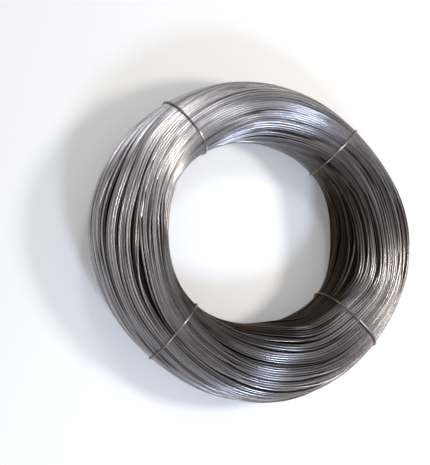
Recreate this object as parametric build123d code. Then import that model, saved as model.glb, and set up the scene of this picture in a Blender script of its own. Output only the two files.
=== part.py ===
from build123d import *
from math import asin, atan2, ceil, cos, floor, pi, radians, sin, sqrt
import os

# A coil of drawn steel wire, lying flat. Its turns are laid up as a ring with an oval section,
# and four single wires tie the ring. Each tie draws the turns in, and between the ties they spread.

# The ring of turns
RING_RADIUS = 232.0        # from the coil's axis to the middle of the ring's section
HALF_HEIGHT_TIED = 50.0    # half the ring's height under a tie
HALF_HEIGHT_FREE = 56.0    # and midway between two ties
SIDE_ROUNDING = 0.76       # radius of the section's round sides, as a share of its half height
SETTLED_DEPTH = 1.2        # how far the lowest turns have flattened on the floor

# Half the ring's width under each tie
HALF_WIDTH_RIGHT = 70.0
HALF_WIDTH_BACK = 59.5
HALF_WIDTH_LEFT = 57.0
HALF_WIDTH_FRONT = 61.0

# Half its width midway from each tie to the next, going round from the right
HALF_WIDTH_PAST_RIGHT = 78.0
HALF_WIDTH_PAST_BACK = 58.0
HALF_WIDTH_PAST_LEFT = 73.0
HALF_WIDTH_PAST_FRONT = 72.5

# Each tie: its name, its place round the ring in degrees, its skew across the ring in degrees,
# and the two half widths
TIES = (
    ("tie_right", 19.4, 0.0, HALF_WIDTH_RIGHT, HALF_WIDTH_PAST_RIGHT),
    ("tie_back", 106.1, 0.0, HALF_WIDTH_BACK, HALF_WIDTH_PAST_BACK),
    ("tie_left", 184.5, 8.0, HALF_WIDTH_LEFT, HALF_WIDTH_PAST_LEFT),
    ("tie_front", 290.2, 0.0, HALF_WIDTH_FRONT, HALF_WIDTH_PAST_FRONT),
)
STATIONS_AT_LEAST = 4      # sections of the ring from one tie to the next, where the roll needs no more

# The outer turns lie in ribbons with grooves between them. The wire is wound to one size, so each
# ribbon runs on the ring's outer side for one half of the way and rolls over to its inner side.
RIBBON_PITCH = 17.0
GROOVE_DEPTH_TIED = 1.8
GROOVE_DEPTH_FREE = 4.2
ROLL = 0.14                # how far a ribbon rolls either way, as a share of the way round the section
ROLL_START = 142.0         # place round the ring in degrees where it is midway

# The wire of a tie, and the twist that closes it low on the coil's outer side
TIE_DIAMETER = 4.0
TIE_CLEARANCE = 0.3
TIE_SIDES = 6
TWIST_PLACE = 0.9          # as a share of the way round the section, from the outer side up
TWIST_TURNS = 2
TWIST_LAY = 4.25           # length of one turn of the twist, in wire diameters
TWIST_STEPS = 6            # straight runs in one turn of the twist


def oval_radii(half_width, half_height):
    """Radii of the small side arcs and of the large crown arcs of a four-arc oval."""
    side = SIDE_ROUNDING * half_height
    crown = ((half_width - side) ** 2 + half_height ** 2 - side ** 2) / (2 * (half_height - side))
    return side, crown


def oval_quarter(half_width, half_height):
    """Angle and length of a side arc's quarter, and the length of the whole quarter."""
    side, crown = oval_radii(half_width, half_height)
    side_angle = atan2(crown - half_height, half_width - side)
    side_length = side * side_angle
    return side_angle, side_length, side_length + crown * (pi / 2 - side_angle)


def oval_point(share, half_width, half_height, raised):
    """The point at a share of the way round the oval, moved outwards by the height raised."""
    side, crown = oval_radii(half_width, half_height)
    side_angle, side_length, quarter_length = oval_quarter(half_width, half_height)
    turn, along = divmod(share % 1 * 4, 1)
    quarter = int(turn)
    distance = quarter_length * (1 - along if quarter % 2 else along)
    if distance <= side_length:
        angle = distance / side
        x = half_width - side + (side + raised) * cos(angle)
        y = (side + raised) * sin(angle)
    else:
        angle = side_angle + (distance - side_length) / crown
        x = (crown + raised) * cos(angle)
        y = half_height - crown + (crown + raised) * sin(angle)
    return (-x if quarter in (1, 2) else x), (-y if quarter in (2, 3) else y)


def section_plane(degrees, skew=0.0):
    """An upright plane across the ring, with its origin in the middle of the ring's section."""
    place, facing = radians(degrees), radians(degrees + skew)
    height = HALF_HEIGHT_FREE - SETTLED_DEPTH
    return Plane(
        origin=(RING_RADIUS * cos(place), RING_RADIUS * sin(place), height),
        x_dir=(cos(facing), sin(facing), 0),
        z_dir=(sin(facing), -cos(facing), 0),
    )


# Two ribbons lie alike on either side of the section, so their number is a multiple of four
tied_widths = [tied_width for _, _, _, tied_width, _ in TIES]
_, _, narrow_quarter = oval_quarter(min(tied_widths), HALF_HEIGHT_TIED)
ribbons = 4 * round(narrow_quarter / RIBBON_PITCH)


def crest_share(crest, degrees):
    """Where the crest of a ribbon is at a place round the ring, as a share of the section."""
    return crest / ribbons + ROLL * sin(radians(degrees - ROLL_START))


def crest_point(crest, degrees, skew, half_width, half_height, raised):
    """The point over a crest in a plane across the ring. A skewed plane meets it a little further on."""
    swing = RING_RADIUS * sin(radians(skew))
    x, _ = oval_point(crest_share(crest, degrees), half_width, half_height, 0)
    further = skew - asin(swing / (RING_RADIUS + x)) * 180 / pi
    x, y = oval_point(crest_share(crest, degrees + further), half_width, half_height, raised)
    return Vector(sqrt((RING_RADIUS + x) ** 2 - swing ** 2) - RING_RADIUS * cos(radians(skew)), y, 0)


def ribbed_section(degrees, skew, half_width, half_height, groove_depth):
    """The ring's section: the crests of the ribbons with grooves between them."""
    corners = []
    for crest in range(ribbons):
        for step, depth in ((0, 0), (0.5, groove_depth)):
            corners.append(crest_point(crest + step, degrees, skew, half_width, half_height, -depth))
    return section_plane(degrees, skew) * make_face(Polyline(*corners, close=True))


def turns():
    """All the turns as one ring, with a section in the plane of each tie and flats on the floor."""
    sections = []
    for number, (_, start, skew, tied_width, free_width) in enumerate(TIES):
        _, end, _, next_width, _ = TIES[(number + 1) % len(TIES)]
        span = (end - start) % 360
        # a ribbon rolls by under a quarter of its pitch from one section to the next
        stations = max(STATIONS_AT_LEAST, ceil(4 * ribbons * ROLL * radians(span)))
        for station in range(stations):
            share = station / stations
            swell = sin(pi * share) ** 2
            eased = share * share * (3 - 2 * share)
            drawn = tied_width + (next_width - tied_width) * eased
            half_width = drawn + (free_width - (tied_width + next_width) / 2) * swell
            half_height = HALF_HEIGHT_TIED + (HALF_HEIGHT_FREE - HALF_HEIGHT_TIED) * swell
            groove_depth = GROOVE_DEPTH_TIED + (GROOVE_DEPTH_FREE - GROOVE_DEPTH_TIED) * swell
            turned = skew if station == 0 else 0
            sections.append(
                ribbed_section(start + span * share, turned, half_width, half_height, groove_depth)
            )
    ring = loft(sections + sections[:1], ruled=True)
    reach = 4 * RING_RADIUS
    above_floor = Box(reach, reach, reach, align=(Align.CENTER, Align.CENTER, Align.MIN))
    return ring & above_floor


def tie(degrees, skew, tied_width):
    """One wire bent over the crests of the ribbons, with its two ends twisted together."""
    radius = TIE_DIAMETER / 2

    def over(crest, raised):
        return crest_point(crest, degrees, skew, tied_width, HALF_HEIGHT_TIED, raised)

    # the loop, over every crest from one side of the twist to the other
    first = floor((TWIST_PLACE - crest_share(0, degrees)) * ribbons) + 1
    loop = [over(first + crest, TIE_CLEARANCE + radius) for crest in range(ribbons)]

    # the twist, which lies on the ribbons beside the tie
    strand_offset = radius + TIE_CLEARANCE / 2
    height = TIE_CLEARANCE + radius + strand_offset
    foot = over(first - 0.5, height)
    tangent = (loop[0] - loop[-1]).normalized()
    outward = Vector(tangent.Y, -tangent.X, 0)
    run = TWIST_LAY * TIE_DIAMETER / TWIST_STEPS

    def strand(phase):
        points = []
        for step in range(TWIST_TURNS * TWIST_STEPS + 1):
            turned = 2 * pi * step / TWIST_STEPS + phase
            lift = tangent * cos(turned) + outward * sin(turned)
            points.append(foot + lift * strand_offset + Vector(0, 0, step * run))
        return points

    points = strand(0)[::-1] + loop + strand(pi)
    path = Polyline(*points)
    start = Plane(origin=path @ 0, z_dir=path % 0)
    return section_plane(degrees, skew) * sweep(
        start * RegularPolygon(radius, TIE_SIDES), path=path, transition=Transition.RIGHT
    )


pieces = {"wire_turns": turns()}
for name, degrees, skew, tied_width, _ in TIES:
    pieces[name] = tie(degrees, skew, tied_width)

# The origin is under the middle of the whole coil, on the floor
box = Compound(list(pieces.values())).bounding_box()
centred = Pos(-(box.min.X + box.max.X) / 2, -(box.min.Y + box.max.Y) / 2, 0)

os.makedirs("parts", exist_ok=True)
for name, piece in pieces.items():
    export_step(centred * piece, f"parts/{name}.step")
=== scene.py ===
import math

import bmesh
import bpy
import numpy as np
from mathutils import Matrix, Vector


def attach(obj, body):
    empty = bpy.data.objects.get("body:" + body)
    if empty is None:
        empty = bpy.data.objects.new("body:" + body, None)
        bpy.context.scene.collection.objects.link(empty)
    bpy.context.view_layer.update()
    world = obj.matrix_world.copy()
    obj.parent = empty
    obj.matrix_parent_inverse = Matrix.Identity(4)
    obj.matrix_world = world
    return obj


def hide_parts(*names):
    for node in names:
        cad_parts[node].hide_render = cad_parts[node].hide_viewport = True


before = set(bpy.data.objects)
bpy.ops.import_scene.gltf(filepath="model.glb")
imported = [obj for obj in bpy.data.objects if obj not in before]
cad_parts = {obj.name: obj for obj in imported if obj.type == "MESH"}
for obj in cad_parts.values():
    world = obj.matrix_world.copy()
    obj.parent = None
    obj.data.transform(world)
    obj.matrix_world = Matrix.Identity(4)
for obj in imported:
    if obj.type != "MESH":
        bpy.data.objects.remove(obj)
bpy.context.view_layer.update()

# Camera
# It looks down on the coil from a standing person's height, aimed a little beside the coil's
# middle and rolled, so that the coil's far side leans to the right in the picture.
ring_centre = Vector((-0.00507, -0.00021, 0.0548))    # the middle of the ring, half way up
camera_place = ring_centre + Vector((0.0, -0.5513, 1.4915))
camera_aim = ring_centre + Vector((-0.0370, -0.0631, 0.0))
camera_roll = math.radians(57.12)
camera_view_height = math.radians(30)
camera_turn = (camera_place - camera_aim).to_track_quat("Z", "Y").to_matrix()
camera_turn = camera_turn @ Matrix.Rotation(camera_roll, 3, "Z")
camera_data = bpy.data.cameras.new("camera")
camera_data.sensor_fit = "VERTICAL"
camera_data.angle = camera_view_height
camera = bpy.data.objects.new("camera", camera_data)
camera.matrix_world = Matrix.Translation(camera_place) @ camera_turn.to_4x4()
bpy.context.scene.collection.objects.link(camera)
bpy.context.scene.camera = camera

# Turns
# One length of drawn steel wire wound in several hundred turns. The outer four layers are modelled
# turn by turn: each layer is a spiral round the ring's oval section, packed tight under the ties.
# Between the ties the turns gather in ribbons, with long gaps that show the layers below.
wire_radius = 0.002
ring_radius = 0.232
half_height_tied = 0.050
half_height_free = 0.0559
settled_depth = 0.0012     # how far the lowest turns have flattened on the floor
oval_power = 2.15          # 2 would make the section an ellipse
# each tie's place round the ring and skew in degrees, and half the ring's width under it, then
# half its width and its looseness midway to the next tie
ties = {
    "tie_right": (19.4, 0.0, 0.0700, 0.0775, 1.0),
    "tie_back": (106.1, 0.0, 0.0595, 0.0580, 0.5),
    "tie_left": (184.5, 8.0, 0.0570, 0.0723, 1.0),
    "tie_front": (290.2, 0.0, 0.0610, 0.0725, 0.9),
}
# each layer's name, its turns, and how finely the wire is rounded
layers = (
    ("turns_outer", 81, 2),
    ("turns_second", 75, 2),
    ("turns_third", 69, 2),
    ("turns_fourth", 63, 1),
)
layer_pitch = 0.0036       # from one layer down to the next
tight_pitch = 0.00404      # from one turn to the next where they are packed tight
roll = 0.14                # how far the turns roll either way, as a share of the section
roll_start = 142.0         # and where they are midway, in degrees
slices = 144               # places round the ring where a turn has a point
chance = np.random.default_rng(11)

slice_angle = np.arange(slices) * 2 * math.pi / slices
half_width = np.zeros(slices)
half_height = np.zeros(slices)
loose = np.zeros(slices)
spans = list(zip(ties.values(), list(ties.values())[1:] + list(ties.values())[:1]))
for (start, _, tied, free, looseness), (end, _, next_tied, _, _) in spans:
    share = (np.degrees(slice_angle) - start) % 360 / ((end - start) % 360)
    here = share < 1
    swell = np.sin(np.pi * np.where(here, share, 0)) ** 2
    eased = share * share * (3 - 2 * share)
    width = tied + (next_tied - tied) * eased + (free - (tied + next_tied) / 2) * swell
    height = half_height_tied + (half_height_free - half_height_tied) * swell
    half_width = np.where(here, width, half_width)
    half_height = np.where(here, height, half_height)
    loose = np.where(here, looseness * swell ** 0.4, loose)


def power(value, exponent):
    return np.sign(value) * np.abs(value) ** exponent


def oval_outline(depth, width, height):
    """An oval section's outline at a depth, with its normals and its running length."""
    turn = np.linspace(0, 2 * np.pi, 721)
    cosine, sine = np.cos(turn), np.sin(turn)
    bend = 2 / oval_power
    normals = np.stack([power(cosine, 2 - bend) / width, power(sine, 2 - bend) / height], -1)
    normals /= np.linalg.norm(normals, axis=-1, keepdims=True)
    outline = np.stack([width * power(cosine, bend), height * power(sine, bend)], -1)
    outline = outline - depth * normals
    length = np.concatenate([[0], np.cumsum(np.linalg.norm(np.diff(outline, axis=0), axis=1))])
    return outline, normals, length


def on_oval(share, depth, sunk, width, height):
    """Points at a share of the way round the outline at a depth, each sunk by its own amount."""
    outline, normals, length = oval_outline(depth, width, height)
    along = (share % 1) * length[-1]
    point, normal = (np.stack([np.interp(along, length, part[:, axis]) for axis in (0, 1)], -1)
                     for part in (outline, normals))
    return point - np.asarray(sunk)[..., None] * normal


def wandering(turns, bends):
    """Smooth random values along the whole length of a layer's wire, the same at both its ends,
    with a number of bends in each turn."""
    count = turns * bends
    knots = chance.standard_normal(count)
    place = np.arange(turns * slices) * count / (turns * slices)
    whole = place.astype(int)
    part = place - whole
    before, left, right, after = (knots[(whole + step) % count] for step in (-1, 0, 1, 2))
    value = (1 - part) ** 3 * before + (3 * part ** 3 - 6 * part ** 2 + 4) * left
    value = value + (1 + 3 * part + 3 * part ** 2 - 3 * part ** 3) * right + part ** 3 * after
    return value.reshape(turns, slices) / 6


# gaps between ribbons: place round the ring, share of the way round the section, half length in
# degrees, size
gap_rows = 22
gap_chance = (0.45, 0.5)         # in a row of a span, and what looseness adds to it
gap_half_length = (13, 30)       # where the turns are loosest
gap_size = (0.4, 1.6)
clear_of_tie = 4.0
gaps = []
for (start, _, _, _, looseness), (end, _, _, _, _) in spans:
    span = (end - start) % 360
    for row in range(gap_rows):
        if chance.random() < gap_chance[0] + gap_chance[1] * looseness:
            half_length = chance.uniform(*gap_half_length) * (0.6 + 0.4 * looseness)
            room = span / 2 - clear_of_tie - half_length
            place = start + span / 2 + chance.uniform(-room, room)
            section_share = (row + chance.uniform(-0.25, 0.25)) / gap_rows
            gaps.append((place % 360, section_share, half_length, chance.uniform(*gap_size)))

# stretches where an outer turn strays over its neighbours: its middle and half its length in
# slices along the wire, and how far it strays round the section in metres
stray_every = 5
stray_half_length = (0.30, 0.46)    # as a share of the way from tie to tie
stray_distance = (0.004, 0.011)
strays = []
for (start, _, _, _, looseness), (end, _, _, _, _) in spans:
    span = (end - start) % 360
    for turn in range(chance.integers(0, stray_every), layers[0][1], stray_every):
        half_length = span * chance.uniform(*stray_half_length)
        middle = turn * slices + (start + span / 2) / 360 * slices
        distance = looseness * chance.choice([-1, 1]) * chance.uniform(*stray_distance)
        strays.append((middle, half_length / 360 * slices, distance))

# waves over the ring's whole surface, with their number round the section, their number round the
# ring and their phase: where the turns crowd together, and where they lie lower
crowd_waves = [(count, around, chance.uniform(0, 2 * np.pi))
               for count, around in ((1, 2), (2, -3), (3, 2), (5, -1))]
swell_waves = [(chance.integers(8, 22), chance.integers(-2, 3), chance.uniform(0, 2 * np.pi))
               for _ in range(10)]

least_opening = 0.015      # share of the spare room between two turns with no gap, beside a gap's 1
crowd_strength = 0.25
gap_taper = 1.2            # how pointed a gap's ends are
bends_per_turn = 5         # in the random course of a turn
wander = 0.0013            # how far a turn wanders sideways
tied_wander = 0.3          # and how much of that is left under a tie
sink_in_waves = 0.0008     # how far the turns sink between the ties, together
sink_by_itself = 0.0007    # and one by one
dip_at_gap = 0.3           # how far a turn beside a gap sinks, as a share of the gap's width
stray_sink = 0.3           # how much of its sinking a stray turn keeps


def laid_up(number, turns):
    """The first lay of a layer: one closed spiral round the section. Where its turns have room,
    most of the room goes to the gaps between ribbons, and the turns beside a gap sink into it."""
    turn = np.arange(turns)[:, None] + slice_angle[None, :] / (2 * np.pi)
    even_share = (turn + number / 2) / turns

    def waves(kinds):
        return sum(np.cos(2 * np.pi * count * even_share + around * slice_angle + phase)
                   for count, around, phase in kinds)

    opening = np.zeros(turns * slices)
    for place, section_share, half_length, size in gaps:
        neighbour = round(section_share * turns - 0.5 - place / 360 - number / 2)
        reach = half_length / 360 * slices
        centre = (neighbour + place / 360) * slices
        steps = np.arange(math.ceil(centre - reach), math.floor(centre + reach) + 1)
        lens = np.cos((steps - centre) / reach * np.pi / 2) ** gap_taper
        opening[steps % (turns * slices)] += size * lens
    opening = least_opening + opening.reshape(turns, slices)
    opening *= np.exp(crowd_strength * waves(crowd_waves))
    swelling = waves(swell_waves) / math.sqrt(len(swell_waves) / 2)
    freedom = tied_wander + (1 - tied_wander) * loose
    sideways = wander * freedom * wandering(turns, bends_per_turn)
    together = sink_in_waves * np.clip(1 + swelling, 0, 3)
    sunk = loose * (together + sink_by_itself * np.abs(wandering(turns, bends_per_turn)))
    if number == 0:
        for middle, reach, distance in strays:
            steps = np.arange(math.ceil(middle - reach), math.floor(middle + reach) + 1)
            where = steps % (turns * slices)
            rise = np.cos((steps - middle) / reach * np.pi / 2) ** 2
            sideways.reshape(-1)[where] += distance * rise
            sunk.reshape(-1)[where] *= stray_sink
    depth = wire_radius + layer_pitch * number
    points = np.empty((turns, slices, 2))
    for index in range(slices):
        rolled = roll * math.sin(slice_angle[index] - math.radians(roll_start))
        length = oval_outline(depth, half_width[index], half_height[index])[2][-1]
        spare = max(length - turns * tight_pitch, 0)
        room = spare * opening[:, index] / opening[:, index].sum()
        pitch = (length - spare) / turns + room
        drift = np.concatenate([[0], np.cumsum(pitch)[:-1]]) - np.arange(turns) * length / turns
        share = (np.arange(turns) + index / slices + number / 2) / turns
        share += (drift - drift.mean()) / length
        share += rolled + sideways[:, index] / length
        dip = sunk[:, index] + dip_at_gap * (room + np.roll(room, 1)) * (number < 2)
        points[:, index] = on_oval(share, depth, dip, half_width[index], half_height[index])
    return points


def close_pairs(points, reach):
    """Pairs of wires nearer than reach in a slice, as numbers into the flat list of points."""
    pairs = []
    for index in range(slices):
        gap = points[:, None, index] - points[None, :, index]
        one, other = np.nonzero(np.triu((gap ** 2).sum(-1) < reach ** 2, 1))
        pairs.append(np.stack([one, other]) * slices + index)
    return np.concatenate(pairs, axis=1)


def pushed_apart(points, rounds, straighten_rounds):
    """Wires that overlap in a slice push each other aside, inside the ring's outline and outside
    its core, while each wire keeps itself straight. The last rounds only straighten."""
    push, straighten = 0.4, 0.2    # shares of an overlap and of a bend taken out in one round
    look_again = 8                 # rounds until close pairs are looked for again
    pair_reach = 5 * wire_radius
    count = len(points)
    flat = points.reshape(-1, 2)
    width, height = np.tile(half_width, count), np.tile(half_height, count)
    lowest = settled_depth - half_height_free + wire_radius
    for step in range(rounds + straighten_rounds):
        if step % look_again == 0:
            one, other = close_pairs(flat.reshape(points.shape), pair_reach)
        if step < rounds:
            gap = flat[one] - flat[other]
            distance = np.maximum(np.linalg.norm(gap, axis=1), 1e-9)
            move = gap * (push * np.clip(2 * wire_radius - distance, 0, None) / distance)[:, None]
            for axis in (0, 1):
                flat[:, axis] += np.bincount(one, move[:, axis], len(flat))
                flat[:, axis] -= np.bincount(other, move[:, axis], len(flat))
        for depth, side in ((wire_radius, 1), (core_depth, -1)):
            level = (np.abs(flat[:, 0] / (width - depth)) ** oval_power
                     + np.abs(flat[:, 1] / (height - depth)) ** oval_power) ** (1 / oval_power)
            flat /= np.where(side * (level - 1) > 0, np.maximum(level, 1e-6), 1)[:, None]
        flat[:, 1] = np.maximum(flat[:, 1], lowest)
        first = 0
        for _, turns, _ in layers:
            row = flat[first * slices:(first + turns) * slices]
            row += straighten * (np.roll(row, 1, 0) + np.roll(row, -1, 0) - 2 * row)
            first += turns
    return flat.reshape(points.shape)


def wire_piece(name, route, radius, roundness):
    """A wire along a route of points, as a mesh whose UV map has the wire's length along U."""
    curve = bpy.data.curves.new(name, "CURVE")
    curve.dimensions = "3D"
    curve.bevel_depth = radius
    curve.bevel_resolution = roundness
    curve.use_fill_caps = True
    spline = curve.splines.new("POLY")
    spline.points.add(len(route) - 1)
    weighted = np.concatenate([route, np.ones((len(route), 1))], axis=1)
    spline.points.foreach_set("co", weighted.ravel())
    spline.use_smooth = True
    curved = bpy.data.objects.new(name, curve)
    mesh = bpy.data.meshes.new_from_object(curved)
    piece = bpy.data.objects.new(name, mesh)
    bpy.data.objects.remove(curved)
    bpy.data.curves.remove(curve)
    piece.name = mesh.name = name
    bpy.context.scene.collection.objects.link(piece)
    return piece


class Shade:
    """A socket in a material. Arithmetic on it adds Math nodes, and node() adds any other node."""

    def __init__(self, socket):
        self.socket = socket

    def node(self, kind, settings=None, inputs=None, output=0):
        node = self.socket.id_data.nodes.new(kind)
        for key, value in (settings or {}).items():
            setattr(node, key, value)
        for key, value in (inputs or {}).items():
            if isinstance(value, Shade):
                node.inputs[key].id_data.links.new(value.socket, node.inputs[key])
            else:
                node.inputs[key].default_value = value
        return Shade(node.outputs[output])

    def combined(self, operation, first, second):
        return self.node("ShaderNodeMath", {"operation": operation}, {0: first, 1: second})

    def __add__(self, other):
        return self.combined("ADD", self, other)

    def __radd__(self, other):
        return self.combined("ADD", other, self)

    def __sub__(self, other):
        return self.combined("SUBTRACT", self, other)

    def __rsub__(self, other):
        return self.combined("SUBTRACT", other, self)

    def __mul__(self, other):
        return self.combined("MULTIPLY", self, other)

    def __rmul__(self, other):
        return self.combined("MULTIPLY", other, self)

    def stepped(self, low, high):
        return self.node("ShaderNodeMapRange", {"interpolation_type": "SMOOTHSTEP"},
                         {"Value": self, "From Min": low, "From Max": high})

    def blended(self, first, second):
        """The colour first where this is 0 and second where it is 1. A Mix node's colours are its
        inputs 6 and 7, and its output 2."""
        return self.node("ShaderNodeMix", {"data_type": "RGBA"},
                         {"Factor": self, 6: first, 7: second}, 2)


def drawn_steel(name, turns, dark, light, film_and_shade, roughness):
    """Wire drawn through a die: bright along its length, with colour that changes slowly from
    ribbon to ribbon and from turn to turn, and brown oil and rust in patches. Painted shade darkens
    the steel on the coil's right side and paints it brown in the bore, most of all on the right."""
    finish = bpy.data.materials.new(name)
    finish.use_nodes = True
    links = finish.node_tree.links
    shader = finish.node_tree.nodes["Principled BSDF"]
    shader.inputs["Metallic"].default_value = 1
    start = Shade(shader.outputs[0])
    wire_map = start.node("ShaderNodeUVMap", {"uv_map": "UVMap"})
    along, round_wire = (start.node("ShaderNodeSeparateXYZ", inputs={0: wire_map}, output=axis)
                         for axis in ("X", "Y"))
    turn = turns * along

    def circled(first, angle, size):
        """Noise that runs on round a closed way: first along it, and an angle given in turns."""
        angle = 2 * math.pi * angle
        across = angle.node("ShaderNodeMath", {"operation": "COSINE"}, {0: angle})
        upward = angle.node("ShaderNodeMath", {"operation": "SINE"}, {0: angle})
        place = angle.node("ShaderNodeCombineXYZ",
                           inputs={0: first, 1: size * across, 2: size * upward})
        return angle.node("ShaderNodeTexNoise",
                          inputs={"Vector": place, "Scale": 1.0, "Detail": 3.0})

    # noise that neighbouring turns share, noise of each turn by itself, and fine lines along a wire
    ribbon = circled(turn * 0.31, turn, 1.4)
    single = start.node("ShaderNodeTexNoise", {"noise_dimensions": "1D"},
                        {"W": turn * 2.3, "Scale": 1.0, "Detail": 2.0})
    lines = circled(turn * 2.0, round_wire, 3.0)
    where = start.node("ShaderNodeTexCoord", output="Object")
    patch = start.node("ShaderNodeTexNoise", inputs={"Vector": where, "Scale": 7.0, "Detail": 4.0})

    # painted shade: the steel is painted darker towards the coil's right side, and painted brown on
    # the bore's wall, most of all there
    shaded_direction = (0.961, 0.276, 0)
    from_axis = start.node("ShaderNodeVectorMath", {"operation": "MULTIPLY_ADD"},
                           {0: where, 1: (1, 1, 0), 2: (-ring_centre.x, -ring_centre.y, 0)})
    out = start.node("ShaderNodeVectorMath", {"operation": "LENGTH"}, {0: from_axis}, "Value")
    to_right = start.node("ShaderNodeVectorMath", {"operation": "DOT_PRODUCT"},
                          {0: from_axis, 1: shaded_direction}, "Value")
    painted_shade_side = to_right.stepped(-0.30, 0.30)
    bore_wall, crown = 0.165, 0.225
    painted_bore_shade = (1 - out.stepped(bore_wall, crown)) * (0.2 + 0.8 * painted_shade_side)
    dirt = 0.5 * ribbon + 0.3 * single + 0.2 * patch
    # the brown share: real oil and rust patches from the dirt noise, plus painted shade on the
    # right side and in the bore
    film_and_shade_share = (dirt + 0.02 * painted_shade_side + 0.20 * painted_bore_shade).stepped(0.50, 0.68)
    # the steel's tone: random from ribbon to ribbon and turn to turn, plus painted shade that
    # darkens the right side
    tone_and_shade = (ribbon * 0.5 + single * 0.5 + 0.08 - 0.14 * painted_shade_side).stepped(0.40, 0.62)
    filmed_and_shaded = film_and_shade_share.blended(tone_and_shade.blended(dark, light), film_and_shade)
    links.new(filmed_and_shaded.socket, shader.inputs["Base Color"])
    rough = roughness + 0.2 * (lines - 0.5) + 0.15 * film_and_shade_share
    links.new(rough.socket, shader.inputs["Roughness"])
    bump = start.node("ShaderNodeBump",
                      inputs={"Strength": 0.2, "Distance": 0.0002, "Height": lines})
    links.new(bump.socket, shader.inputs["Normal"])
    return finish


core_depth = wire_radius + layer_pitch * len(layers)
first_lay = np.concatenate([laid_up(number, turns) for number, (_, turns, _) in enumerate(layers)])
lay = pushed_apart(first_lay, rounds=24, straighten_rounds=4)
# each layer's dark and light steel and its brown of oil and rust; each layer down is painted darker
# and browner than the one above, as painted shade in the gaps between ribbons
tones_with_depth_shade = (
    ((0.19, 0.176, 0.18, 1), (0.68, 0.67, 0.70, 1), (0.045, 0.031, 0.023, 1)),
    ((0.08, 0.070, 0.063, 1), (0.24, 0.222, 0.21, 1), (0.035, 0.025, 0.018, 1)),
    ((0.035, 0.028, 0.024, 1), (0.07, 0.058, 0.05, 1), (0.03, 0.02, 0.014, 1)),
    ((0.02, 0.015, 0.012, 1), (0.04, 0.03, 0.024, 1), (0.02, 0.013, 0.009, 1)),
)
wire_roughness = 0.22
first = 0
for (name, turns, roundness), (dark, light, film_and_shade) in zip(layers, tones_with_depth_shade):
    section = lay[first:first + turns].reshape(-1, 2)
    first += turns
    angle = np.tile(slice_angle, turns)
    out = ring_radius + section[:, 0]
    route = np.stack([out * np.cos(angle), out * np.sin(angle), section[:, 1]], -1)
    wires = wire_piece(name, route + np.array(ring_centre), wire_radius, roundness)
    wires.data.materials.append(drawn_steel(name, turns, dark, light, film_and_shade, wire_roughness))
    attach(wires, "root")
    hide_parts("wire_turns")

# Core
# The imported turns under the fourth layer, which only show between the outer ones. They are
# painted near black: painted shade at the bottom of the gaps.
core_sides = 64
core = bpy.data.objects.new("inner_turns", bpy.data.meshes.new("inner_turns"))
shape = bmesh.new()
bmesh.ops.create_grid(shape, x_segments=slices, y_segments=core_sides, size=0.5)
for corner in shape.verts:
    index = round((corner.co.x + 0.5) * slices) % slices
    share = np.array([round((corner.co.y + 0.5) * core_sides) % core_sides / core_sides])
    x, z = on_oval(share, core_depth, np.zeros(1), half_width[index], half_height[index])[0]
    out, angle = ring_radius + x, slice_angle[index]
    corner.co = ring_centre + Vector((out * math.cos(angle), out * math.sin(angle), z))
bmesh.ops.remove_doubles(shape, verts=shape.verts, dist=1e-6)
bmesh.ops.recalc_face_normals(shape, faces=shape.faces)
shape.to_mesh(core.data)
shape.free()
core.data.polygons.foreach_set("use_smooth", [True] * len(core.data.polygons))
bpy.context.scene.collection.objects.link(core)
core_finish = bpy.data.materials.new("inner_turns")
core_finish.use_nodes = True
core_shader = core_finish.node_tree.nodes["Principled BSDF"]
# painted shade: the core's steel is coloured near black, as it only shows deep in the gaps
core_shader.inputs["Base Color"].default_value = (0.02, 0.015, 0.012, 1)
core_shader.inputs["Roughness"].default_value = 0.7
core.data.materials.append(core_finish)
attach(core, "root")
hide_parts("wire_turns")

# Ties
# Four single lengths of thinner soft wire, each drawn round the ring and closed with a twist low
# on the coil's outer side, where the twist lies against the turns.
tie_radius = 0.0015
tie_roundness = 4
tie_clearance = 0.0003
tie_raised = tie_clearance + tie_radius
loop_points = 96
twist_place = 0.896        # as a share of the way round the section, from the outer side up
twist_mouth = 0.012        # and how far from there the loop starts and ends
twist_raised = 2.05 * tie_raised
beside_twist = 0.01        # how far on either side of it the section's direction is taken
twist_turns = 2
twist_lay = 0.017
twist_steps = 16           # points in one turn of the twist
strand_offset = 1.05 * tie_radius
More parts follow.
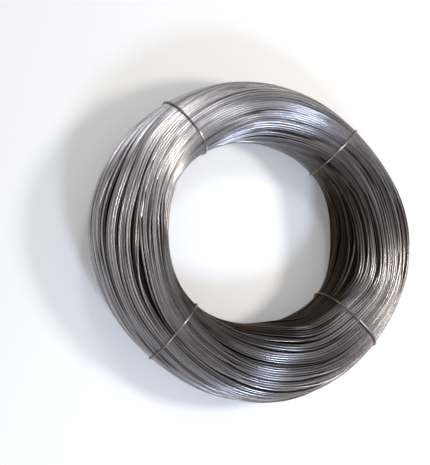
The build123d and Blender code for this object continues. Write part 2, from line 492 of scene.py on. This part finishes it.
# the ties take drawn_steel's painted shade too: darker on the coil's right side and brown in the
# bore
tie_dark, tie_light, tie_film_and_shade = (0.30, 0.29, 0.28, 1), (0.52, 0.51, 0.49, 1), (0.2, 0.16, 0.13, 1)
tie_roughness = 0.24
tie_tone_length = 0.3      # a tie's length, as turns of the coil's wire, for the scale of its tone
for name, (degrees, skew, tied, _, _) in ties.items():
    place, facing = math.radians(degrees), math.radians(degrees + skew)
    swing = ring_radius * math.sin(math.radians(skew))
    reach = ring_radius * math.cos(math.radians(skew))
    middle = ring_centre + ring_radius * Vector((math.cos(place), math.sin(place), 0))
    outward = Vector((math.cos(facing), math.sin(facing), 0))
    sideways = Vector((math.sin(facing), -math.cos(facing), 0))
    shares = twist_place + np.linspace(twist_mouth, 1 - twist_mouth, loop_points)
    loop = on_oval(shares, 0, np.full(loop_points, -tie_raised), tied, half_height_tied)
    foot, before, after = (
        on_oval(np.array([twist_place + step]), 0, np.array([-lift]), tied, half_height_tied)[0]
        for step, lift in ((0, twist_raised), (-beside_twist, 0), (beside_twist, 0))
    )
    tangent = (after - before) / np.linalg.norm(after - before)
    normal = np.array([tangent[1], -tangent[0]])
    steps = np.arange(twist_turns * twist_steps + 1)
    strands = []
    for phase in (0, np.pi):
        turned = (steps / twist_steps * 2 * np.pi + phase)[:, None]
        offset = strand_offset * (np.cos(turned) * tangent + np.sin(turned) * normal)
        along = (steps * twist_lay / twist_steps)[:, None]
        strands.append(np.concatenate([foot + offset, along], axis=1))
    flat_loop = np.concatenate([loop, np.zeros((len(loop), 1))], axis=1)
    local = np.concatenate([strands[0][::-1], flat_loop, strands[1]])
    local[:, 0] = np.sqrt((ring_radius + local[:, 0]) ** 2 - swing ** 2) - reach
    route = np.array([middle + outward * x + Vector((0, 0, z)) + sideways * y for x, z, y in local])
    tie = wire_piece(name + "_wire", route, tie_radius, tie_roundness)
    tie_steel = drawn_steel(name, tie_tone_length, tie_dark, tie_light, tie_film_and_shade, tie_roughness)
    tie.data.materials.append(tie_steel)
    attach(tie, "root")
    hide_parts(name)

# Floor and light
# A plain pale floor, which looks white to the camera and in reflections and keeps the coil's
# shadow. There are three soft lamps: in the picture a warm one stands at the right, a cool one at
# the lower right and a weak fill above.
floor_half_width = 8
floor_mesh = bpy.data.meshes.new("floor")
floor_shape = bmesh.new()
bmesh.ops.create_grid(floor_shape, x_segments=1, y_segments=1, size=floor_half_width)
floor_shape.to_mesh(floor_mesh)
floor_shape.free()
floor = bpy.data.objects.new("floor", floor_mesh)
bpy.context.scene.collection.objects.link(floor)
floor_finish = bpy.data.materials.new("floor")
floor_finish.use_nodes = True
floor_shader = floor_finish.node_tree.nodes["Principled BSDF"]
floor_shader.inputs["Base Color"].default_value = (0.93, 0.93, 0.93, 1)
floor_shader.inputs["Roughness"].default_value = 0.9
floor_shader.inputs["Emission Strength"].default_value = 0.12
seen, mirrored, through = (Shade(floor_shader.outputs[0]).node("ShaderNodeLightPath", output=name)
                           for name in ("Is Camera Ray", "Is Glossy Ray", "Is Transmission Ray"))
glow = seen + mirrored + through
floor_finish.node_tree.links.new(glow.socket, floor_shader.inputs["Emission Color"])
floor.data.materials.append(floor_finish)

world = bpy.data.worlds.new("world")
world.use_nodes = True
world.node_tree.nodes["Background"].inputs["Color"].default_value = (1.0, 0.98, 0.96, 1)
world.node_tree.nodes["Background"].inputs["Strength"].default_value = 0.39
bpy.context.scene.world = world

camera_right, camera_up, camera_back = camera_turn.col
lamp_distance = 2.0
# name, direction in the picture in degrees, tilt from the camera in degrees, size, watts, colour
lamps = (
    ("key", 2, 64, 0.40, 22, (1.0, 0.95, 0.88)),
    ("cool", -60, 50, 0.45, 20, (0.66, 0.77, 1.0)),
    ("fill", 78, 50, 0.45, 6, (0.94, 0.96, 1.0)),
)
for name, direction, tilt, size, watts, colour in lamps:
    direction, tilt = math.radians(direction), math.radians(tilt)
    in_picture = math.cos(direction) * camera_right + math.sin(direction) * camera_up
    towards = math.cos(tilt) * camera_back + math.sin(tilt) * in_picture
    lamp_data = bpy.data.lights.new(name, "AREA")
    lamp_data.shape = "DISK"
    lamp_data.size = size
    lamp_data.energy = watts
    lamp_data.color = colour
    lamp = bpy.data.objects.new(name, lamp_data)
    lamp.location = ring_centre + lamp_distance * towards
    lamp.rotation_euler = towards.to_track_quat("Z", "Y").to_euler()
    bpy.context.scene.collection.objects.link(lamp)
bpy.context.scene.view_settings.view_transform = "Standard"
